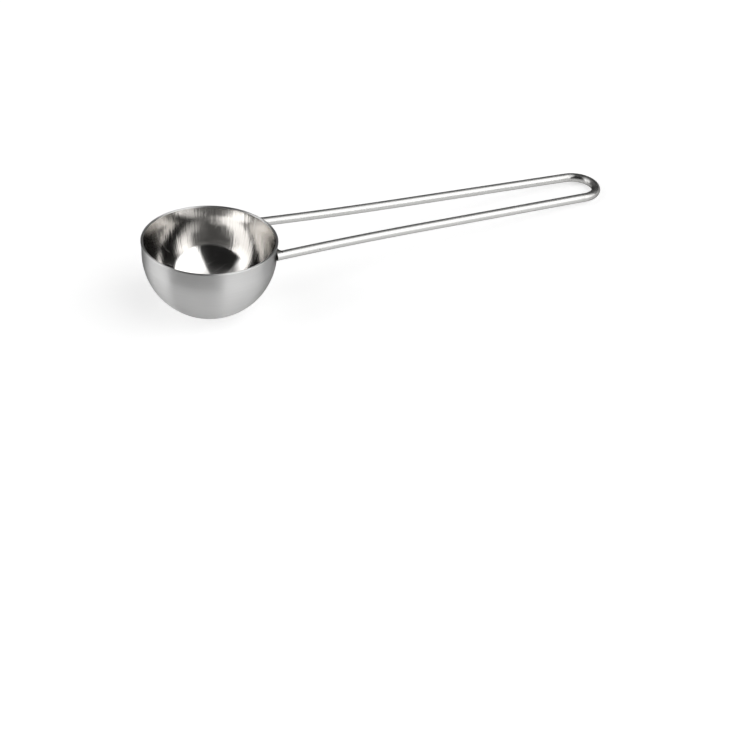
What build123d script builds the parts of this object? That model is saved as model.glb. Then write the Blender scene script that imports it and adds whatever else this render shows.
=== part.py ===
# Measuring spoon. A deep round bowl is drawn from stainless sheet, and one length of
# round wire, bent into a long narrow loop, is welded to the bowl's collar at both ends.
#
# The spoon lies as it rests on a table, on the bottom of its bowl and the tip of its loop.
# The origin is the point of the table under the round bottom, +Z is up, and the handle
# points along +X. All lengths are in millimetres and all angles in degrees.

from build123d import *
from math import asin, atan2, cos, degrees, hypot, radians, sin, sqrt
import os

# Bowl
bowl_rim_diameter = 46.7
rim_flare = 0.35
collar_height = 4.8
sheet_thickness = 0.9
rim_edge_rounding = 0.2

# Handle
wire_diameter = 3.15
handle_reach = 149.3
handle_drop = 3.7
loop_diameter = 15.4
foot_spread = 23.7
foot_bend_length = 54.0
foot_bend_angle = 3.25
wire_end_rounding = 0.6

# Welds
weld_spread = 1.0
weld_shift = 1.1
weld_height = 1.4
weld_crown_width = 2.0
weld_hollow = 0.35

rim_radius = bowl_rim_diameter / 2
round_radius = rim_radius - rim_flare
wire_radius = wire_diameter / 2
loop_radius = loop_diameter / 2

# The handle lies in a plane parallel to the rim, at this height over the bowl's widest level.
handle_height = collar_height - handle_drop
loop_tip = handle_reach - wire_radius

# The bowl leans towards its handle until the tip of the loop touches the table too.
tip_distance = hypot(loop_tip, handle_height)
lean = asin((round_radius - wire_radius) / tip_distance) + atan2(handle_height, loop_tip)
bowl_axis = Vector(sin(lean), 0, cos(lean))
bowl_forward = Vector(cos(lean), 0, -sin(lean))

# Planes through the centre of the round bottom: across the bowl, and along the spoon's middle
bowl_centre = Vector(0, 0, round_radius)
widest_plane = Plane(bowl_centre, x_dir=bowl_forward, z_dir=bowl_axis)
middle_plane = Plane(bowl_centre, x_dir=bowl_forward, z_dir=-widest_plane.y_dir)
handle_plane = widest_plane.offset(handle_height)
turning_axis = Axis(bowl_centre, bowl_axis)

# The collar flares on one arc that leaves the round bottom without a crease.
flare_radius = (collar_height**2 + rim_flare**2) / (2 * rim_flare)


def wall_radius(height):
    """Outer radius of the bowl's wall at a height over its widest level."""
    if height < 0:
        return sqrt(round_radius**2 - height**2)
    return round_radius + flare_radius - sqrt(flare_radius**2 - height**2)


# Each foot stands where the middle line of the wire meets the bowl's wall.
foot_radius = wall_radius(handle_height)
foot_y = foot_spread / 2
foot_x = sqrt(foot_radius**2 - foot_y**2)

# A leg leaves the loop straight and bends outwards a little before its foot. The straight
# stretch touches both arcs, so its splay and its length follow from the loop and the foot.
bend_radius = foot_bend_length / radians(foot_bend_angle)
side_step = loop_radius + bend_radius * (1 - cos(radians(foot_bend_angle)))
loop_centre_x = loop_tip - loop_radius
foot_run = loop_centre_x - foot_x
leg_run = sqrt(foot_run**2 + foot_y**2 - side_step**2)
leg_splay = degrees(atan2(foot_y, foot_run) - atan2(side_step, leg_run))
straight_length = leg_run - bend_radius * sin(radians(foot_bend_angle))


def cup_shape(radius, mouth_radius):
    """A filled cup: a round bottom under a collar that flares to a flat mouth."""
    with BuildPart() as cup:
        with BuildSketch(middle_plane):
            with BuildLine():
                CenterArc((0, 0), radius, -90, 90)
                TangentArc((radius, 0), (mouth_radius, collar_height), tangent=(0, 1))
                Polyline((mouth_radius, collar_height), (0, collar_height), (0, -radius))
            make_face()
        revolve(axis=turning_axis)
    return cup.part


bowl_outside = cup_shape(round_radius, rim_radius)
bowl_inside = cup_shape(round_radius - sheet_thickness, rim_radius - sheet_thickness)

# Bowl: the drawn cup, its cut rim broken along both edges
with BuildPart() as bowl:
    add(bowl_outside)
    add(bowl_inside, mode=Mode.SUBTRACT)
    rim_face = bowl.faces().filter_by(GeomType.PLANE)[0]
    fillet(rim_face.edges(), radius=rim_edge_rounding)

# Handle: one wire from foot to foot, its ends rounded and fitted to the bowl's wall
with BuildPart() as handle_wire:
    with BuildLine(handle_plane) as path:
        loop = CenterArc((loop_centre_x, 0), loop_radius, leg_splay - 90, 180 - 2 * leg_splay)
        for leg_start, side in ((loop @ 0, -1), (loop @ 1, 1)):
            leg = PolarLine(leg_start, straight_length, 180 - side * leg_splay)
            JernArc(leg @ 1, leg % 1, bend_radius, -side * foot_bend_angle)
    wire_path = path.wire()
    with BuildSketch(Plane(wire_path @ 0, z_dir=wire_path % 0)):
        Circle(wire_radius)
    sweep(path=wire_path)
    wire_ends = handle_wire.faces().filter_by(GeomType.PLANE)
    fillet(wire_ends.edges(), radius=wire_end_rounding)
    add(bowl_outside, mode=Mode.SUBTRACT)


def weld_bead(side):
    """The metal that flowed out round one foot of the wire, more of it on the inner side."""
    bead_angle = atan2(foot_y, foot_x) - weld_shift / foot_radius
    outward = widest_plane.x_dir * cos(bead_angle) + widest_plane.y_dir * side * sin(bead_angle)
    bead_centre = handle_plane.origin + outward * foot_radius
    skirt_radius = wire_radius + weld_spread
    crown_radius = weld_crown_width / 2
    # The skirt starts twice as deep as the wall curves away, so that it runs into the wall.
    skirt_depth = 2 * (foot_radius - sqrt(foot_radius**2 - skirt_radius**2))
    with BuildPart() as bead:
        with BuildSketch(Plane(bead_centre, x_dir=bowl_axis, z_dir=bowl_axis.cross(outward))):
            with BuildLine():
                skirt_edge = (skirt_radius, -skirt_depth)
                crown_edge = (crown_radius, weld_height)
                SagittaArc(skirt_edge, crown_edge, weld_hollow)
                Polyline(crown_edge, (0, weld_height), (0, -skirt_depth), skirt_edge)
            make_face()
        revolve(axis=Axis(bead_centre, outward))
        add(bowl_outside, mode=Mode.SUBTRACT)
        add(handle_wire.part, mode=Mode.SUBTRACT)
    return bead.part


# Welds: one round each foot of the wire
weld_left = weld_bead(side=1)
weld_right = weld_bead(side=-1)

bowl.part.label = "bowl"
handle_wire.part.label = "handle_wire"
weld_left.label = "weld_left"
weld_right.label = "weld_right"

os.makedirs("parts", exist_ok=True)
for piece in (bowl.part, handle_wire.part, weld_left, weld_right):
    export_step(piece, f"parts/{piece.label}.step")

print(f"lean {degrees(lean):.3f} deg, level capacity {bowl_inside.volume / 1000:.2f} ml")
print(f"wire {wire_path.length:.1f} mm long, straight {straight_length:.1f} mm, splay {leg_splay:.3f} deg")
print(f"foot at x {foot_x:.3f}, y {foot_y:.3f} on the widest plane, {handle_height:.3f} over it")
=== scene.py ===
"""A measuring spoon on a white studio floor.

The spoon is a deep round bowl drawn from stainless sheet and one length of stainless wire,
bent into a long narrow loop and welded to the bowl's collar at both ends. It lies on the
bottom of its bowl and on the tip of its loop. Lengths are in metres, +X runs along the handle.
"""

from math import asin, atan2, cos, hypot, pi, radians, sin, sqrt

import bmesh
import bpy
from mathutils import Matrix, Vector, noise


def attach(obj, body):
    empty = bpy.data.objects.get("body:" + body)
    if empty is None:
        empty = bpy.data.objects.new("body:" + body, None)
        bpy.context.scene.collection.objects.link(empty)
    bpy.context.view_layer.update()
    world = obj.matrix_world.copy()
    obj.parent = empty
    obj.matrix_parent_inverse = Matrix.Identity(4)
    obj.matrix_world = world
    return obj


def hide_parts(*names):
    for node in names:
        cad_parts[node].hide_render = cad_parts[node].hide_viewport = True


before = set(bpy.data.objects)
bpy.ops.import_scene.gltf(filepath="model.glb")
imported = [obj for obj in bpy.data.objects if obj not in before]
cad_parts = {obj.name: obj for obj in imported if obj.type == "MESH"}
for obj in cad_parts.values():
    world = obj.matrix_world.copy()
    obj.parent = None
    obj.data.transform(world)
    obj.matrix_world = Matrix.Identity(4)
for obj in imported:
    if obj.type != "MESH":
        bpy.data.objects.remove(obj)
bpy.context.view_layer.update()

# Bowl
# A cup drawn from stainless sheet in one stroke, with a round bottom and a short upright
# collar. The inside is polished bright, the outside is brushed round and round on a lathe,
# and the cut rim is broken along both edges.

RIM_RADIUS = 0.02335
RIM_FLARE = 0.00035
COLLAR_HEIGHT = 0.0048
SHEET_THICKNESS = 0.0009
RIM_EDGE_ROUNDING = 0.0004
ROUND_RADIUS = RIM_RADIUS - RIM_FLARE

# The bowl leans towards its handle, about the middle of its round bottom, until the tip of the
# loop touches the table too.
WIRE_RADIUS = 0.001575
HANDLE_HEIGHT = 0.0011
HANDLE_REACH = 0.1493
LOOP_TIP = HANDLE_REACH - WIRE_RADIUS
TIP_DISTANCE = hypot(LOOP_TIP, HANDLE_HEIGHT)
LEAN = asin((ROUND_RADIUS - WIRE_RADIUS) / TIP_DISTANCE) + atan2(HANDLE_HEIGHT, LOOP_TIP)
BOWL_CENTRE = Vector((0, 0, ROUND_RADIUS))
FORWARD = Vector((cos(LEAN), 0, -sin(LEAN)))
SIDEWAYS = Vector((0, 1, 0))
UPRIGHT = Vector((sin(LEAN), 0, cos(LEAN)))
FLARE_RADIUS = (COLLAR_HEIGHT**2 + RIM_FLARE**2) / (2 * RIM_FLARE)


def wall_radius(height):
    """Outer radius of the bowl at a height over its widest level."""
    if height < 0:
        return sqrt(ROUND_RADIUS**2 - height**2)
    return ROUND_RADIUS + FLARE_RADIUS - sqrt(FLARE_RADIUS**2 - height**2)


def join(tree, value, socket):
    """Link an output to a socket, or set the socket to a plain value."""
    if isinstance(value, bpy.types.NodeSocket):
        tree.links.new(value, socket)
    else:
        socket.default_value = value


def add_node(tree, kind, settings=None, **inputs):
    """A node with its settings, and its inputs by name with underscores for spaces."""
    node = tree.nodes.new(kind)
    for name, value in (settings or {}).items():
        setattr(node, name, value)
    for name, value in inputs.items():
        join(tree, value, node.inputs[name.replace("_", " ")])
    return node


def reckon(tree, operation, *values):
    """The result of one step of arithmetic."""
    node = tree.nodes.new("ShaderNodeMath")
    node.operation = operation
    for value, socket in zip(values, node.inputs):
        join(tree, value, socket)
    return node.outputs[0]


def vector_step(tree, operation, *vectors):
    """The outputs of one step of arithmetic with vectors."""
    node = add_node(tree, "ShaderNodeVectorMath", {"operation": operation})
    for vector, socket in zip(vectors, node.inputs):
        join(tree, vector, socket)
    return node.outputs


def place(tree, x, y, z):
    """A vector from its three parts."""
    return add_node(tree, "ShaderNodeCombineXYZ", X=x, Y=y, Z=z).outputs[0]


def between(tree, value, low, high):
    """0 below the low value, 1 above the high one, and a soft step from one to the other."""
    node = add_node(tree, "ShaderNodeMapRange", {"interpolation_type": "SMOOTHSTEP"},
                    Value=value, From_Min=low, From_Max=high)
    return node.outputs["Result"]


def weighted(tree, base, *effects):
    """A base value plus some effects, each times its own weight."""
    result = base
    for value, weight in effects:
        result = reckon(tree, "ADD", result, reckon(tree, "MULTIPLY", value, weight))
    return result


def blend(tree, share, first, second, kind="MIX"):
    """Two colours mixed, or the first multiplied by the second, by a share."""
    node = add_node(tree, "ShaderNodeMix", {"data_type": "RGBA", "blend_type": kind},
                    Factor=share, A=first, B=second)
    return node.outputs["Result"]


def effect(name, inputs, outputs):
    """An empty shader node group with named inputs and outputs, and the nodes at its two ends."""
    group = bpy.data.node_groups.new(name, "ShaderNodeTree")
    for label, kind in inputs.items():
        group.interface.new_socket(label, in_out="INPUT", socket_type="NodeSocket" + kind)
    for label, kind in outputs.items():
        group.interface.new_socket(label, in_out="OUTPUT", socket_type="NodeSocket" + kind)
    start = group.nodes.new("NodeGroupInput").outputs
    end = group.nodes.new("NodeGroupOutput").inputs
    return group, start, end


def use(tree, group, **inputs):
    """The outputs of a shader node group that is placed in a material's tree."""
    return add_node(tree, "ShaderNodeGroup", {"node_tree": group}, **inputs).outputs


# Where a point is on the turned wall: which way it faces from the axis, and how far it is up
# the wall from the bottom, in metres.
wall_place, given, result = effect(
    "Place on the Wall", {"Vector": "Vector"}, {"Facing": "Vector", "Climb": "Float"})
spot = add_node(wall_place, "ShaderNodeSeparateXYZ", Vector=given["Vector"]).outputs
flat_spot = place(wall_place, spot["X"], spot["Y"], 0.0)
from_axis = vector_step(wall_place, "LENGTH", flat_spot)["Value"]
join(wall_place, vector_step(wall_place, "NORMALIZE", flat_spot)["Vector"], result["Facing"])
slope_angle = reckon(wall_place, "ARCTAN2", spot["Z"], from_axis)
angle_climbed = reckon(wall_place, "ADD", slope_angle, pi / 2)
join(wall_place, reckon(wall_place, "MULTIPLY", angle_climbed, ROUND_RADIUS), result["Climb"])

# Fine lines that a wheel or a die leaves. They are close together in one direction and long in
# the other.
polish_lines, given, result = effect(
    "Polishing Lines",
    {"Facing": "Vector", "Run": "Float", "Lines Round": "Float", "Lines Along": "Float"},
    {"Lines": "Float"})
round_part = add_node(polish_lines, "ShaderNodeVectorMath", {"operation": "SCALE"},
                      Scale=given["Lines Round"])
join(polish_lines, given["Facing"], round_part.inputs[0])
run_length = reckon(polish_lines, "MULTIPLY", given["Run"], given["Lines Along"])
run_part = place(polish_lines, 0.0, 0.0, run_length)
both_parts = vector_step(polish_lines, "ADD", round_part.outputs["Vector"], run_part)["Vector"]
grain = add_node(polish_lines, "ShaderNodeTexNoise", Vector=both_parts, Scale=1.0, Detail=4.0, Roughness=0.62)
join(polish_lines, grain.outputs["Fac"], result["Lines"])

# Hairline scratches from use and washing: few, thin, and in all directions.
HAIR_TURNS_AND_LENGTHS = (
    ((0.4, 0.2, 0.9), 26.0),
    ((1.3, -0.7, 2.1), 34.0),
    ((-0.6, 0.9, -0.3), 22.0),
)
scratches, given, result = effect(
    "Hairline Scratches", {"Vector": "Vector", "Scale": "Float"}, {"Scratches": "Float"})
worn = None
for turn, longer in HAIR_TURNS_AND_LENGTHS:
    turned_vector = add_node(scratches, "ShaderNodeMapping", Vector=given["Vector"],
                             Rotation=turn, Scale=(1.0, longer, 1.6))
    hair = add_node(scratches, "ShaderNodeTexNoise", Vector=turned_vector.outputs[0], Scale=given["Scale"],
                    Detail=1.0, Distortion=0.25)
    thin = between(scratches, hair.outputs["Fac"], 0.715, 0.76)
    worn = thin if worn is None else reckon(scratches, "MAXIMUM", worn, thin)
join(scratches, worn, result["Scratches"])

# The faint cloudy marks that fingers and drying water leave on bright metal.
clouding, given, result = effect("Handling Marks", {"Vector": "Vector", "Scale": "Float"}, {"Marks": "Float"})
cloud = add_node(clouding, "ShaderNodeTexNoise", Vector=given["Vector"], Scale=given["Scale"],
                 Detail=5.0, Roughness=0.6)
join(clouding, between(clouding, cloud.outputs["Fac"], 0.42, 0.72), result["Marks"])


def lines(tree, facing, run, closeness_round, closeness_along):
    """Polishing lines, with how close they are round the piece and along it."""
    placed = use(tree, polish_lines, Facing=facing, Run=run,
                 Lines_Round=closeness_round, Lines_Along=closeness_along)
    return placed["Lines"]


def steel_material(name):
    """A new steel material with its node tree and its Principled BSDF."""
    material = bpy.data.materials.new(name)
    material.use_nodes = True
    tree = material.node_tree
    steel = tree.nodes["Principled BSDF"]
    steel.inputs["Metallic"].default_value = 1
    return material, tree, steel


def draw_light_out(tree, steel, strength, turn=0.0):
    """Draw highlights out across the fine lines, whose direction the UV map gives."""
    steel.inputs["Anisotropic"].default_value = strength
    steel.inputs["Anisotropic Rotation"].default_value = turn
    line_way = add_node(tree, "ShaderNodeTangent", {"direction_type": "UV_MAP", "uv_map": "UVMap"})
    join(tree, line_way.outputs[0], steel.inputs["Tangent"])


def relief(tree, steel, *heights):
    """Bumps from effects, each with its height in micrometres."""
    bump = add_node(tree, "ShaderNodeBump", Strength=1.0, Distance=1e-6, Height=weighted(tree, 0.0, *heights))
    join(tree, bump.outputs["Normal"], steel.inputs["Normal"])


def bowl_axes(tree):
    """Object coordinates, and the same turned and moved to the bowl's own axis and centre."""
    here = tree.nodes.new("ShaderNodeTexCoord").outputs["Object"]
    own = add_node(tree, "ShaderNodeMapping", {"vector_type": "TEXTURE"},
                   Vector=here, Location=BOWL_CENTRE, Rotation=(0.0, LEAN, 0.0))
    return here, own.outputs["Vector"]


# Outside: brushed in rings round the axis, so light is drawn out up and down the wall, most of
# all on the collar, where the brush pressed harder. The cut rim has a paler base colour, a painted highlight
# along the rim's edge.
BRUSHED_GREY = (0.542, 0.541, 0.538, 1)
RIM_CLIMB = 0.0404
outside_steel, tree, steel = steel_material("brushed_outside")
# The very low edge tint darkens the wall's reflections towards its outline: painted shade for the floor's
# shadow seen in them.
steel.inputs["Specular Tint"].default_value = (0.15, 0.15, 0.15, 1)
draw_light_out(tree, steel, 1.0)
here, own = bowl_axes(tree)
wall = use(tree, wall_place, Vector=own)
rings = lines(tree, wall["Facing"], wall["Climb"], 2.2, 5200.0)
broad_rings = lines(tree, wall["Facing"], wall["Climb"], 1.3, 900.0)
marks = use(tree, clouding, Vector=here, Scale=70.0)["Marks"]
hairs = use(tree, scratches, Vector=here, Scale=55.0)["Scratches"]
# A paler base colour on the cut rim: a painted highlight along the rim's edge.
painted_rim_highlight = between(tree, wall["Climb"], RIM_CLIMB, RIM_CLIMB + 0.0003)
pressed = between(tree, wall["Climb"], 0.0325, 0.0405)
shade = weighted(tree, 0.89, (rings, 0.14), (broad_rings, 0.08), (painted_rim_highlight, 0.22))
join(tree, blend(tree, 1.0, BRUSHED_GREY, shade, "MULTIPLY"), steel.inputs["Base Color"])
gloss = weighted(tree, 0.31, (rings, 0.08), (marks, 0.03), (pressed, 0.11))
join(tree, gloss, steel.inputs["Roughness"])
relief(tree, steel, (rings, 3.0), (broad_rings, 8.0), (hairs, -1.5))

# Inside: polished bright over the fine upright lines that the drawing die left. The base colour is
# paler up on the collar, partly for a brighter polish there and partly as painted sheen. Up the wall the
# lines draw the light out sideways.
BOTTOM_GREY = (0.622, 0.61, 0.594, 1)
COLLAR_GREY_AND_SHEEN = (0.885, 0.868, 0.847, 1)
QUARTER_TURN = 0.25
inside_steel, tree, steel = steel_material("polished_inside")
draw_light_out(tree, steel, 0.7, QUARTER_TURN)
here, own = bowl_axes(tree)
wall = use(tree, wall_place, Vector=own)
draw_lines = lines(tree, wall["Facing"], wall["Climb"], 52.0, 55.0)
broad_lines = lines(tree, wall["Facing"], wall["Climb"], 11.0, 35.0)
marks = use(tree, clouding, Vector=here, Scale=90.0)["Marks"]
hairs = use(tree, scratches, Vector=here, Scale=70.0)["Scratches"]
up_the_wall = between(tree, wall["Climb"], 0.015, 0.036)
on_the_collar = between(tree, wall["Climb"], 0.03, 0.041)
# Paler up the collar: partly a brighter polish, partly painted sheen.
polish_and_sheen = blend(tree, on_the_collar, BOTTOM_GREY, COLLAR_GREY_AND_SHEEN)
lined_shade = weighted(tree, 0.85, (draw_lines, 0.28))
lined_polish_and_sheen = blend(tree, up_the_wall, polish_and_sheen, lined_shade, "MULTIPLY")
join(tree, lined_polish_and_sheen, steel.inputs["Base Color"])
lined_collar = reckon(tree, "MULTIPLY", on_the_collar, draw_lines)
gloss = weighted(tree, 0.07, (lined_collar, 0.12), (marks, 0.04), (hairs, 0.12))
join(tree, gloss, steel.inputs["Roughness"])
upright_lines = weighted(tree, 0.0, (draw_lines, 26.0), (broad_lines, 90.0))
relief(tree, steel, (upright_lines, up_the_wall), (hairs, -0.8))


def shape_tree(name, inputs):
    """An empty Geometry Nodes tree with its named inputs, and the nodes at its two ends."""
    tree = bpy.data.node_groups.new(name, "GeometryNodeTree")
    tree.interface.new_socket("Geometry", in_out="INPUT", socket_type="NodeSocketGeometry")
    for label, kind in inputs.items():
        tree.interface.new_socket(label, in_out="INPUT", socket_type="NodeSocket" + kind)
    tree.interface.new_socket("Geometry", in_out="OUTPUT", socket_type="NodeSocketGeometry")
    start = tree.nodes.new("NodeGroupInput").outputs
    end = tree.nodes.new("NodeGroupOutput").inputs
    return tree, start, end


def named(tree, geometry, name, kind, domain, value):
    """The same geometry with one named attribute stored on it."""
    node = add_node(tree, "GeometryNodeStoreNamedAttribute", {"data_type": kind, "domain": domain},
                    Geometry=geometry, Name=name, Value=value)
    return node.outputs[0]


def read_back(tree, name, kind):
    """The value of a named attribute."""
    return add_node(tree, "GeometryNodeInputNamedAttribute", {"data_type": kind}, Name=name).outputs[0]


def shaped_piece(name, tree, mesh, values):
    """A plain mesh object: what the tree makes of the mesh with these values."""
    maker = bpy.data.objects.new(name + "_maker", mesh)
    bpy.context.collection.objects.link(maker)
    modifier = maker.modifiers.new("Shape", "NODES")
    modifier.node_group = tree
    for item in tree.interface.items_tree:
        if item.in_out == "INPUT" and item.name in values:
            modifier[item.identifier] = values[item.name]
    seen = maker.evaluated_get(bpy.context.evaluated_depsgraph_get())
    shaped = bpy.data.meshes.new_from_object(seen)
    shaped.name = name
    bpy.data.objects.remove(maker)
    piece = bpy.data.objects.new(name, shaped)
    bpy.context.collection.objects.link(piece)
    return piece


bowl_tree, given, result = shape_tree("Drawn Bowl", {
    "Round Radius": "Float",
    "Collar Height": "Float",
    "Rim Flare": "Float",
    "Sheet Thickness": "Float",
    "Edge Rounding": "Float",
    "Steps Around": "Int",
    "Steps Up": "Int",
    "Outside Finish": "Material",
    "Inside Finish": "Material",
})


def maths(operation, *values):
    """One step of arithmetic in the bowl's tree."""
    return reckon(bowl_tree, operation, *values)


squared_flare = maths("MULTIPLY", given["Rim Flare"], given["Rim Flare"])
squared_height = maths("MULTIPLY", given["Collar Height"], given["Collar Height"])
double_flare = maths("MULTIPLY", given["Rim Flare"], 2.0)
flare_radius = maths("DIVIDE", maths("ADD", squared_height, squared_flare), double_flare)
inner_radius = maths("SUBTRACT", given["Round Radius"], given["Sheet Thickness"])
rounding_level = maths("SUBTRACT", given["Collar Height"], given["Edge Rounding"])


def collar_radius(radius, height):
    """The collar's radius at a height: an arc that leaves the round bottom upright."""
    squared_radius = maths("MULTIPLY", flare_radius, flare_radius)
    rest = maths("SUBTRACT", squared_radius, maths("MULTIPLY", height, height))
    return maths("ADD", radius, maths("SUBTRACT", flare_radius, maths("SQRT", rest)))


def on_circle(radius, angle):
    """How far a point on a circle is along each of two axes."""
    along = maths("MULTIPLY", radius, maths("COSINE", angle))
    up = maths("MULTIPLY", radius, maths("SINE", angle))
    return along, up


def turned_strip(steps, profile, inside):
    """One strip of the wall, turned about the bowl's axis from a profile of radius and height."""
    grid = add_node(bowl_tree, "GeometryNodeMeshGrid", Size_X=1.0, Size_Y=1.0,
                    Vertices_X=maths("ADD", steps, 1.0),
                    Vertices_Y=maths("ADD", given["Steps Around"], 1.0))
    position = add_node(bowl_tree, "GeometryNodeInputPosition").outputs[0]
    spot = add_node(bowl_tree, "ShaderNodeSeparateXYZ", Vector=position).outputs
    along = maths("ADD", spot["X"], 0.5)
    around = maths("ADD", spot["Y"], 0.5)
    radius, height = profile(along)
    x, y = on_circle(radius, maths("MULTIPLY", around, -2 * pi))
    unrolled = named(bowl_tree, grid.outputs["Mesh"], "UVMap", "FLOAT2", "CORNER",
                     place(bowl_tree, along, around, 0.0))
    faced = named(bowl_tree, unrolled, "is_inside", "BOOLEAN", "FACE", inside)
    strip = add_node(bowl_tree, "GeometryNodeSetPosition", Geometry=faced,
                     Position=place(bowl_tree, x, y, height))
    return strip.outputs[0]


def round_bottom(radius, start, end):
    """A quarter circle between two angles."""
    def profile(along):
        angle = maths("ADD", maths("MULTIPLY", along, end - start), start)
        return on_circle(radius, angle)
    return profile


def collar(radius, rising):
    """The collar's arc, up to where the edge rounding starts, or down from there."""
    def profile(along):
        share = along if rising else maths("SUBTRACT", 1.0, along)
        height = maths("MULTIPLY", share, rounding_level)
        return collar_radius(radius, height), height
    return profile


def broken_edge(radius, side, start):
    """A quarter circle that breaks one edge of the rim."""
    def profile(along):
        angle = maths("ADD", maths("MULTIPLY", along, pi / 2), start)
        inset = maths("MULTIPLY", given["Edge Rounding"], side)
        middle = maths("SUBTRACT", collar_radius(radius, rounding_level), inset)
        outwards, upwards = on_circle(given["Edge Rounding"], angle)
        return maths("ADD", middle, outwards), maths("ADD", rounding_level, upwards)
    return profile


def flat_rim(along):
    """The flat of the rim, between its two broken edges."""
    outer = maths("SUBTRACT", collar_radius(given["Round Radius"], rounding_level), given["Edge Rounding"])
    inner = maths("ADD", collar_radius(inner_radius, rounding_level), given["Edge Rounding"])
    step_in = maths("MULTIPLY", along, maths("SUBTRACT", inner, outer))
    return maths("ADD", outer, step_in), given["Collar Height"]


EDGE_STEPS = 6.0
FLAT_STEPS = 2.0
few_steps = maths("MULTIPLY", given["Steps Up"], 0.25)
strips = [
    turned_strip(given["Steps Up"], round_bottom(given["Round Radius"], -pi / 2, 0.0), False),
    turned_strip(few_steps, collar(given["Round Radius"], True), False),
    turned_strip(EDGE_STEPS, broken_edge(given["Round Radius"], 1.0, 0.0), False),
    turned_strip(FLAT_STEPS, flat_rim, False),
    turned_strip(EDGE_STEPS, broken_edge(inner_radius, -1.0, pi / 2), False),
    turned_strip(few_steps, collar(inner_radius, False), True),
    turned_strip(given["Steps Up"], round_bottom(inner_radius, 0.0, -pi / 2), True),
]
together = bowl_tree.nodes.new("GeometryNodeJoinGeometry")
for strip in reversed(strips):
    bowl_tree.links.new(strip, together.inputs[0])
closed = add_node(bowl_tree, "GeometryNodeMergeByDistance", Geometry=together.outputs[0], Distance=1e-6)
leaned = add_node(bowl_tree, "GeometryNodeTransform", Geometry=closed.outputs[0],
                  Translation=BOWL_CENTRE, Rotation=(0.0, LEAN, 0.0))
smooth = add_node(bowl_tree, "GeometryNodeSetShadeSmooth", Geometry=leaned.outputs[0])
real = add_node(bowl_tree, "GeometryNodeRealizeInstances", Geometry=smooth.outputs[0])
brushed = add_node(bowl_tree, "GeometryNodeSetMaterial", Geometry=real.outputs[0],
                   Material=given["Outside Finish"])
polished = add_node(bowl_tree, "GeometryNodeSetMaterial", Geometry=brushed.outputs[0],
                    Selection=read_back(bowl_tree, "is_inside", "BOOLEAN"), Material=given["Inside Finish"])
join(bowl_tree, polished.outputs[0], result["Geometry"])

bowl = shaped_piece("spoon_bowl", bowl_tree, bpy.data.meshes.new("bowl_blank"), {
    "Round Radius": ROUND_RADIUS,
    "Collar Height": COLLAR_HEIGHT,
    "Rim Flare": RIM_FLARE,
    "Sheet Thickness": SHEET_THICKNESS,
    "Edge Rounding": RIM_EDGE_ROUNDING,
    "Steps Around": 256,
    "Steps Up": 64,
    "Outside Finish": outside_steel,
    "Inside Finish": inside_steel,
})
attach(bowl, "root")
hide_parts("bowl")

# Handle
# One length of round stainless wire, polished along its length and bent into a long loop. Both
# legs bend outwards a little before their feet, which stand against the bowl's collar.

LOOP_RADIUS = 0.0077
FOOT_Y = 0.01185
FOOT_BEND_LENGTH = 0.054
FOOT_BEND_ANGLE = radians(3.25)
WIRE_END_ROUNDING = 0.0006

foot_radius = wall_radius(HANDLE_HEIGHT)
foot_x = sqrt(foot_radius**2 - FOOT_Y**2)
bend_radius = FOOT_BEND_LENGTH / FOOT_BEND_ANGLE
side_step = LOOP_RADIUS + bend_radius * (1 - cos(FOOT_BEND_ANGLE))
loop_centre_x = LOOP_TIP - LOOP_RADIUS
leg_run = sqrt((loop_centre_x - foot_x) ** 2 + FOOT_Y**2 - side_step**2)
splay = atan2(FOOT_Y, loop_centre_x - foot_x) - atan2(side_step, leg_run)
straight_length = leg_run - bend_radius * sin(FOOT_BEND_ANGLE)


def on_handle_plane(x, y):
    """A point of the plane that the handle lies in, parallel to the rim."""
    return BOWL_CENTRE + FORWARD * x + SIDEWAYS * y + UPRIGHT * HANDLE_HEIGHT


# Half of the wire's middle line, from the tip of the loop to one foot
LOOP_STEPS = 40
STRAIGHT_STEPS = 24
BEND_STEPS = 27
END_STEPS = 6
half_line = []
for step in range(LOOP_STEPS):
    turn = (pi / 2 - splay) * step / LOOP_STEPS
    half_line.append((loop_centre_x + LOOP_RADIUS * cos(turn), LOOP_RADIUS * sin(turn)))
leg_start = Vector((loop_centre_x + LOOP_RADIUS * sin(splay), LOOP_RADIUS * cos(splay)))
heading = Vector((-cos(splay), sin(splay)))
outward = Vector((sin(splay), cos(splay)))
for step in range(STRAIGHT_STEPS):
    half_line.append(tuple(leg_start + heading * straight_length * step / STRAIGHT_STEPS))
bend_start = leg_start + heading * straight_length
rounding_share = WIRE_END_ROUNDING / FOOT_BEND_LENGTH
rounding_turns = [pi / 2 * step / END_STEPS for step in range(END_STEPS + 1)]
bend_shares = [step / BEND_STEPS for step in range(BEND_STEPS)]
bend_shares += [1 - rounding_share * (1 - sin(turn)) for turn in rounding_turns]
for share in bend_shares:
    turn = FOOT_BEND_ANGLE * share
    point = bend_start + heading * bend_radius * sin(turn) + outward * bend_radius * (1 - cos(turn))
    half_line.append(tuple(point))

# The wire is equally thick all along and thins at its two rounded ends.
end_thickness = [1 - WIRE_END_ROUNDING / WIRE_RADIUS * (1 - cos(turn)) for turn in rounding_turns]
thickness = [1.0] * (len(half_line) - len(end_thickness)) + end_thickness
middle_line = [(x, -y) for x, y in reversed(half_line[1:])] + half_line
thickness = list(reversed(thickness[1:])) + thickness
wire_blank = bpy.data.meshes.new("wire_blank")
wire_points = [on_handle_plane(x, y) for x, y in middle_line]
wire_edges = [(i, i + 1) for i in range(len(middle_line) - 1)]
wire_blank.from_pydata(wire_points, wire_edges, [])
wire_blank.attributes.new("thickness", "FLOAT", "POINT").data.foreach_set("value", thickness)
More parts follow.
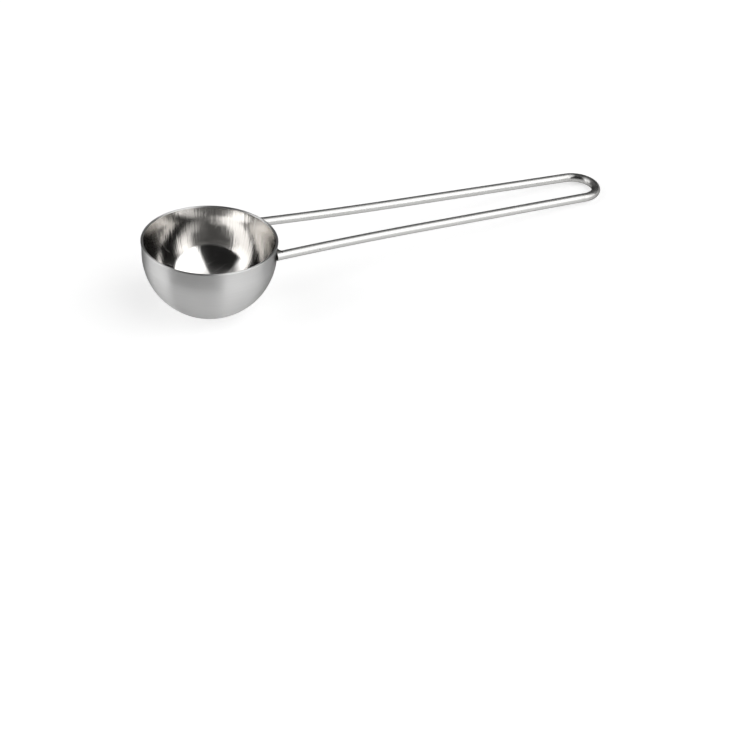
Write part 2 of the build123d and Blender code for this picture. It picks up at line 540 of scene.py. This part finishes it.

# Along the legs the polish is nearly even. Round the loop, where the wire was bent, it is
# uneven, and in small patches its base colour is darker, partly for a duller polish and partly as painted
# shade of the shadowed floor that the loop reflects near its tip. The right leg has one small nick, on its
# upper side.
EVEN_GREY = (0.51, 0.507, 0.498, 1)
DULL_AND_SHADED_GREY = (0.38, 0.377, 0.37, 1)
LOOP_START_X = loop_centre_x * cos(LEAN) - 0.004
LOOP_FULL_X = loop_centre_x * cos(LEAN) + 0.003
NICK = (0.0352, -0.0123, 0.0187)
NICK_RADIUS = 0.00042
wire_steel, tree, steel = steel_material("polished_wire")
# The very low edge tint darkens the wire's reflections towards its outline: painted shade for the shadowed
# floor seen in them.
steel.inputs["Specular Tint"].default_value = (0.2, 0.2, 0.2, 1)
draw_light_out(tree, steel, 0.85)
here = tree.nodes.new("ShaderNodeTexCoord").outputs["Object"]
facing = add_node(tree, "ShaderNodeAttribute", {"attribute_name": "round_wire"}).outputs["Vector"]
run = add_node(tree, "ShaderNodeAttribute", {"attribute_name": "along_wire"}).outputs["Fac"]
die_lines = lines(tree, facing, run, 5000.0, 45.0)
uneven = lines(tree, facing, run, 700.0, 500.0)
marks = use(tree, clouding, Vector=here, Scale=110.0)["Marks"]
hairs = use(tree, scratches, Vector=here, Scale=80.0)["Scratches"]
along_handle = add_node(tree, "ShaderNodeSeparateXYZ", Vector=here).outputs["X"]
round_the_loop = between(tree, along_handle, LOOP_START_X, LOOP_FULL_X)
from_nick = vector_step(tree, "DISTANCE", here, NICK)["Value"]
nick = reckon(tree, "SUBTRACT", 1.0, between(tree, from_nick, 0.00005, NICK_RADIUS))
speckle = between(tree, uneven, 0.38, 0.6)
# Darker speckled patches round the loop: partly duller polish, partly painted shade of the shadowed floor.
dulled_and_shaded = blend(tree, reckon(tree, "MULTIPLY", round_the_loop, speckle), EVEN_GREY, DULL_AND_SHADED_GREY)
join(tree, dulled_and_shaded, steel.inputs["Base Color"])
gloss = weighted(tree, 0.21, (die_lines, 0.08), (marks, 0.05))
join(tree, gloss, steel.inputs["Roughness"])
unevenness = weighted(tree, 1.8, (round_the_loop, 8.2))
relief(tree, steel, (die_lines, 1.5), (uneven, unevenness), (hairs, -1.5), (nick, -260.0))

wire_tree, given, result = shape_tree("Bent Wire", {
    "Wire Radius": "Float",
    "Steps Round": "Int",
    "Finish": "Material",
})
line = add_node(wire_tree, "GeometryNodeMeshToCurve", Mesh=given["Geometry"])
tapered = add_node(wire_tree, "GeometryNodeSetCurveRadius", Curve=line.outputs[0],
                   Radius=read_back(wire_tree, "thickness", "FLOAT"))
length_along = add_node(wire_tree, "GeometryNodeSplineParameter").outputs["Length"]
measured = named(wire_tree, tapered.outputs[0], "along_wire", "FLOAT", "POINT", length_along)
section = add_node(wire_tree, "GeometryNodeCurvePrimitiveCircle",
                   Resolution=given["Steps Round"], Radius=given["Wire Radius"])
side_of_wire = add_node(wire_tree, "GeometryNodeInputPosition").outputs[0]
marked = named(wire_tree, section.outputs[0], "round_wire", "FLOAT_VECTOR", "POINT", side_of_wire)
swept = add_node(wire_tree, "GeometryNodeCurveToMesh", Curve=measured, Profile_Curve=marked, Fill_Caps=True)
round_place = read_back(wire_tree, "round_wire", "FLOAT_VECTOR")
side_parts = add_node(wire_tree, "ShaderNodeSeparateXYZ", Vector=round_place).outputs
side_angle = reckon(wire_tree, "ARCTAN2", side_parts["Y"], side_parts["X"])
side_run = reckon(wire_tree, "MULTIPLY", side_angle, given["Wire Radius"])
unrolled = named(wire_tree, swept.outputs[0], "UVMap", "FLOAT2", "CORNER",
                 place(wire_tree, side_run, read_back(wire_tree, "along_wire", "FLOAT"), 0.0))
smooth = add_node(wire_tree, "GeometryNodeSetShadeSmooth", Geometry=unrolled)
real = add_node(wire_tree, "GeometryNodeRealizeInstances", Geometry=smooth.outputs[0])
finished = add_node(wire_tree, "GeometryNodeSetMaterial", Geometry=real.outputs[0], Material=given["Finish"])
join(wire_tree, finished.outputs[0], result["Geometry"])

handle = shaped_piece("spoon_handle", wire_tree, wire_blank, {
    "Wire Radius": WIRE_RADIUS,
    "Steps Round": 48,
    "Finish": wire_steel,
})

# Each end of the wire stands against the bowl, so what would lie inside the wall is pressed
# back along the leg until it lies just under the wall's surface.
PRESS_DEPTH = 0.0001
foot_heading = splay + FOOT_BEND_ANGLE
for vertex in handle.data.vertices:
    from_centre = vertex.co - BOWL_CENTRE
    x = from_centre.dot(FORWARD)
    y = from_centre.y
    height = from_centre.dot(UPRIGHT)
    short = wall_radius(height) - PRESS_DEPTH - hypot(x, y)
    if short > 0:
        back = Vector((cos(foot_heading), -sin(foot_heading) if y > 0 else sin(foot_heading)))
        towards_wall = (x * back.x + y * back.y) / hypot(x, y)
        slide = back * (short / towards_wall)
        vertex.co += FORWARD * slide.x + SIDEWAYS * slide.y
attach(handle, "root")
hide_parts("handle_wire")

# Welds
# The metal that flowed out round each foot of the wire and joins it to the collar. It is left
# as welded and duller than the polished steel beside it. Its near-black colour is partly weld scale and
# partly painted shade of the crevice round the foot.

WELD_SPREAD = 0.001
WELD_SHIFT = 0.0011
WELD_HEIGHT = 0.0014
WELD_CROWN_RADIUS = 0.001
WELD_HOLLOW = 0.00035
# On its upper side the metal crept out along the wire, in a thin tongue over it.
WELD_CREEP = 0.0008
TONGUE_THICKNESS = 0.00022
TONGUE_RADIUS = WIRE_RADIUS + TONGUE_THICKNESS
# Lumps: their height, how many there are to the metre, and how far the bead is out of round
WELD_LUMPS = 0.00007
COARSE_LUMPS = 900
FINE_LUMPS = 2300
OUT_OF_ROUND = 0.05

weld_steel, tree, steel = steel_material("welded_steel")
here = tree.nodes.new("ShaderNodeTexCoord").outputs["Object"]
scale = add_node(tree, "ShaderNodeTexNoise", Vector=here, Scale=1400.0, Detail=3.0).outputs["Fac"]
patches = add_node(tree, "ShaderNodeTexNoise", Vector=here, Scale=420.0, Detail=4.0).outputs["Fac"]
# Near-black patches of colour: partly weld scale, partly painted shade of the crevice round the foot.
temper_and_shade = tree.nodes.new("ShaderNodeValToRGB")
temper_and_shade.color_ramp.elements[0].position = 0.3
temper_and_shade.color_ramp.elements[0].color = (0.03, 0.028, 0.027, 1)
temper_and_shade.color_ramp.elements[1].position = 0.7
temper_and_shade.color_ramp.elements[1].color = (0.13, 0.124, 0.118, 1)
join(tree, patches, temper_and_shade.inputs["Fac"])
join(tree, temper_and_shade.outputs["Color"], steel.inputs["Base Color"])
join(tree, weighted(tree, 0.26, (scale, 0.25)), steel.inputs["Roughness"])
relief(tree, steel, (scale, 22.0), (patches, 40.0))

BEAD_STEPS = 56
BEAD_RINGS = 14
skirt_radius = WIRE_RADIUS + WELD_SPREAD
skirt_depth = 2 * (foot_radius - sqrt(foot_radius**2 - skirt_radius**2))
skirt_edge = Vector((skirt_radius, -skirt_depth))


def weld_bead(name, node, side):
    """A round bead with a hollow skirt, a little lumpy, that stands on the bowl's wall."""
    angle = side * (atan2(FOOT_Y, foot_x) - WELD_SHIFT / foot_radius)
    outward_way = FORWARD * cos(angle) + SIDEWAYS * sin(angle)
    across = UPRIGHT.cross(outward_way)
    foot = BOWL_CENTRE + UPRIGHT * HANDLE_HEIGHT + outward_way * foot_radius
    points = []
    for ring in range(BEAD_RINGS + 1):
        share = ring / BEAD_RINGS
        hollow = WELD_HOLLOW * 4 * share * (1 - share)
        for step in range(BEAD_STEPS):
            turn = 2 * pi * step / BEAD_STEPS
            upper = max(0.0, cos(turn)) ** 2
            crown_radius = WELD_CROWN_RADIUS + (TONGUE_RADIUS - WELD_CROWN_RADIUS) * upper
            chord = Vector((crown_radius, WELD_HEIGHT + WELD_CREEP * upper)) - skirt_edge
            spot = skirt_edge + chord * share + Vector((-chord.y, chord.x)).normalized() * hollow
            way = UPRIGHT * cos(turn) + across * sin(turn)
            bare_point = foot + way * spot.x
            lump = noise.noise(bare_point * COARSE_LUMPS) + 0.5 * noise.noise(bare_point * FINE_LUMPS)
            swell = 1 + OUT_OF_ROUND * noise.noise(Vector((cos(turn), sin(turn), side)) * 1.7)
            lift = spot.y + WELD_LUMPS * lump * (1 - share * 0.5)
            points.append(foot + way * (spot.x * swell) + outward_way * lift)
    points.append(foot - outward_way * skirt_depth)
    points.append(foot + outward_way * WELD_HEIGHT)
    faces = []
    for ring in range(BEAD_RINGS):
        low = ring * BEAD_STEPS
        high = low + BEAD_STEPS
        for step in range(BEAD_STEPS):
            after = (step + 1) % BEAD_STEPS
            faces.append((low + step, low + after, high + after, high + step))
    top = BEAD_RINGS * BEAD_STEPS
    for step in range(BEAD_STEPS):
        after = (step + 1) % BEAD_STEPS
        faces.append((len(points) - 2, after, step))
        faces.append((len(points) - 1, top + step, top + after))
    mesh = bpy.data.meshes.new(name)
    mesh.from_pydata(points, [], faces)
    shell = bmesh.new()
    shell.from_mesh(mesh)
    bmesh.ops.recalc_face_normals(shell, faces=shell.faces)
    shell.to_mesh(mesh)
    shell.free()
    mesh.shade_smooth()
    mesh.materials.append(weld_steel)
    bead = bpy.data.objects.new(name, mesh)
    bpy.context.collection.objects.link(bead)
    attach(bead, "root")
    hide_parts(node)


weld_bead("weld_bead_left", "weld_left", 1)
weld_bead("weld_bead_right", "weld_right", -1)

# Studio
# A white floor that turns up softly far behind the spoon, and soft light from large sheets of
# cloth that hang in a dim grey room.

FLOOR_REACH = 6.0
COVE_RISE = 0.2
COVE_STEPS = 12
FLOOR_STEPS = 96
floor_rings = [(0.3, 0.0), (1.0, 0.0), (FLOOR_REACH - COVE_RISE, 0.0)]
for step in range(1, COVE_STEPS + 1):
    turn = pi / 2 * step / COVE_STEPS
    floor_rings.append((FLOOR_REACH - COVE_RISE + COVE_RISE * sin(turn), COVE_RISE * (1 - cos(turn))))
floor_points = []
for reach, rise in floor_rings:
    for i in range(FLOOR_STEPS):
        turn = 2 * pi * i / FLOOR_STEPS
        floor_points.append((reach * cos(turn), reach * sin(turn), rise))
floor_points.append((0, 0, 0))
floor_faces = [(len(floor_points) - 1, i, (i + 1) % FLOOR_STEPS) for i in range(FLOOR_STEPS)]
for ring in range(len(floor_rings) - 1):
    near = ring * FLOOR_STEPS
    far = near + FLOOR_STEPS
    for i in range(FLOOR_STEPS):
        after = (i + 1) % FLOOR_STEPS
        floor_faces.append((near + i, far + i, far + after, near + after))
floor_mesh = bpy.data.meshes.new("studio_floor")
floor_mesh.from_pydata(floor_points, [], floor_faces)
floor_mesh.shade_smooth()
floor = bpy.data.objects.new("studio_floor", floor_mesh)
bpy.context.collection.objects.link(floor)


def white_paint(name, lift):
    """Pale paint, lifted to white for rays that come straight or by a reflection from the camera."""
    material = bpy.data.materials.new(name)
    material.use_nodes = True
    tree = material.node_tree
    tree.nodes.clear()
    paint = add_node(tree, "ShaderNodeBsdfDiffuse", Color=(0.7, 0.7, 0.7, 1))
    rays = tree.nodes.new("ShaderNodeLightPath").outputs
    direct = reckon(tree, "MAXIMUM", rays["Is Camera Ray"], rays["Is Glossy Ray"])
    seen = reckon(tree, "MAXIMUM", direct, rays["Is Transmission Ray"])
    glow = add_node(tree, "ShaderNodeEmission", Color=(1, 1, 1, 1),
                    Strength=reckon(tree, "MULTIPLY", seen, lift))
    both = tree.nodes.new("ShaderNodeAddShader")
    tree.links.new(paint.outputs[0], both.inputs[0])
    tree.links.new(glow.outputs[0], both.inputs[1])
    surface = tree.nodes.new("ShaderNodeOutputMaterial")
    tree.links.new(both.outputs[0], surface.inputs["Surface"])
    return material


# Near the spoon the paint is lifted less than far behind it, so that the floor keeps the
# spoon's shadow.
NEAR_FLOOR_RADIUS = 1
floor_mesh.materials.append(white_paint("white_floor", 0.55))
floor_mesh.materials.append(white_paint("white_backdrop", 0.9))
for face in floor_mesh.polygons:
    face.material_index = 1 if face.center.length > NEAR_FLOOR_RADIUS else 0

# Over the floor is one even grey room. A bright sheet of cloth hangs on each side of the camera
# and a dark one behind it. Dimmer sheets hang higher up and farther back. Angles are in
# degrees, to the camera's right and upwards, as seen from the spoon.
CAMERA_AZIMUTH = radians(-18.829)
CAMERA_ELEVATION = radians(37.339)
CAMERA_ROLL = radians(-6.617)
CAMERA_PLACE = (-0.133968, -0.544814, 0.39184)
towards_camera = (sin(CAMERA_AZIMUTH), -cos(CAMERA_AZIMUTH), 0)
to_the_right = (cos(CAMERA_AZIMUTH), sin(CAMERA_AZIMUTH), 0)

sheet_inputs = ("Side", "Height", "Left", "Right", "Bottom", "Top",
                "Left Fade", "Right Fade", "Bottom Fade", "Top Fade")
soft_sheet, given, result = effect(
    "Soft Sheet", {label: "Float" for label in sheet_inputs}, {"Share": "Float"})


def faded_edge(angle, edge, fade, ends):
    """A soft step of the fade's width from one end value to the other, across an edge."""
    half = reckon(soft_sheet, "MULTIPLY", fade, 0.5)
    low = reckon(soft_sheet, "SUBTRACT", edge, half)
    high = reckon(soft_sheet, "ADD", edge, half)
    step = add_node(soft_sheet, "ShaderNodeMapRange", {"interpolation_type": "SMOOTHSTEP"},
                    Value=angle, From_Min=low, From_Max=high, To_Min=ends[0], To_Max=ends[1])
    return step.outputs["Result"]


RISING = (0.0, 1.0)
FALLING = (1.0, 0.0)
sides = reckon(soft_sheet, "MULTIPLY",
               faded_edge(given["Side"], given["Left"], given["Left Fade"], RISING),
               faded_edge(given["Side"], given["Right"], given["Right Fade"], FALLING))
levels = reckon(soft_sheet, "MULTIPLY",
                faded_edge(given["Height"], given["Bottom"], given["Bottom Fade"], RISING),
                faded_edge(given["Height"], given["Top"], given["Top Fade"], FALLING))
join(soft_sheet, reckon(soft_sheet, "MULTIPLY", sides, levels), result["Share"])

studio = bpy.data.worlds.new("studio")
bpy.context.scene.world = studio
studio.use_nodes = True
tree = studio.node_tree
background = tree.nodes["Background"]
facing = tree.nodes.new("ShaderNodeTexCoord").outputs["Generated"]


def component(axis):
    """How much of the direction looked in lies along an axis."""
    return vector_step(tree, "DOT_PRODUCT", facing, axis)["Value"]


def in_degrees(angle):
    return reckon(tree, "MULTIPLY", angle, 180 / pi)


side = in_degrees(reckon(tree, "ARCTAN2", component(to_the_right), component(towards_camera)))
height = in_degrees(reckon(tree, "ARCSINE", component((0, 0, 1))))
# The room is darkest along the floor and lighter towards its ceiling.
room = add_node(tree, "ShaderNodeMapRange", Value=height,
                From_Min=5.0, From_Max=80.0, To_Min=0.06, To_Max=0.14)
light = room.outputs["Result"]
sheets = (
    # brightness, left, right, bottom, top, left fade, right fade, bottom fade, top fade
    (0.22, -188, -100, 14, 60, 40, 40, 20, 30),
    (0.45, -140, -50, 56, 82, 40, 24, 20, 16),
    (1.1, -138, -80, 44, 68, 40, 20, 16, 24),
    (0.15, 84, 176, -6, 54, 16, 30, 6, 8),
    (0.42, 80, 126, 18, 48, 16, 26, 16, 10),
    (1.0, 80, 134, 54, 68, 20, 24, 6, 14),
    (0.02, -62, 20, 8, 72, 4, 34, 30, 40),
    (2.4, 26, 96, 3, 70, 5, 14, 8, 50),
    (2.35, -118, -67, -2, 46, 26, 12, 8, 24),
)
for brightness, left, right, bottom, top, left_fade, right_fade, bottom_fade, top_fade in sheets:
    placed = use(tree, soft_sheet, Side=side, Height=height,
                 Left=left, Right=right, Bottom=bottom, Top=top,
                 Left_Fade=left_fade, Right_Fade=right_fade, Bottom_Fade=bottom_fade, Top_Fade=top_fade)
    share = placed["Share"]
    kept = reckon(tree, "MULTIPLY", light, reckon(tree, "SUBTRACT", 1.0, share))
    light = reckon(tree, "ADD", kept, reckon(tree, "MULTIPLY", share, brightness))
join(tree, light, background.inputs["Strength"])
background.inputs["Color"].default_value = (1, 1, 1, 1)

camera = bpy.data.cameras.new("camera")
camera.sensor_width = 36
camera.lens = 96.1
camera.clip_start = 0.05
camera.clip_end = 30
eye = bpy.data.objects.new("camera", camera)
bpy.context.collection.objects.link(eye)
turned = Matrix.Rotation(CAMERA_AZIMUTH, 4, "Z") @ Matrix.Rotation(pi / 2 - CAMERA_ELEVATION, 4, "X")
rolled = turned @ Matrix.Rotation(CAMERA_ROLL, 4, "Z")
eye.matrix_world = Matrix.Translation(CAMERA_PLACE) @ rolled
bpy.context.scene.camera = eye
bpy.context.scene.view_settings.view_transform = "Standard"
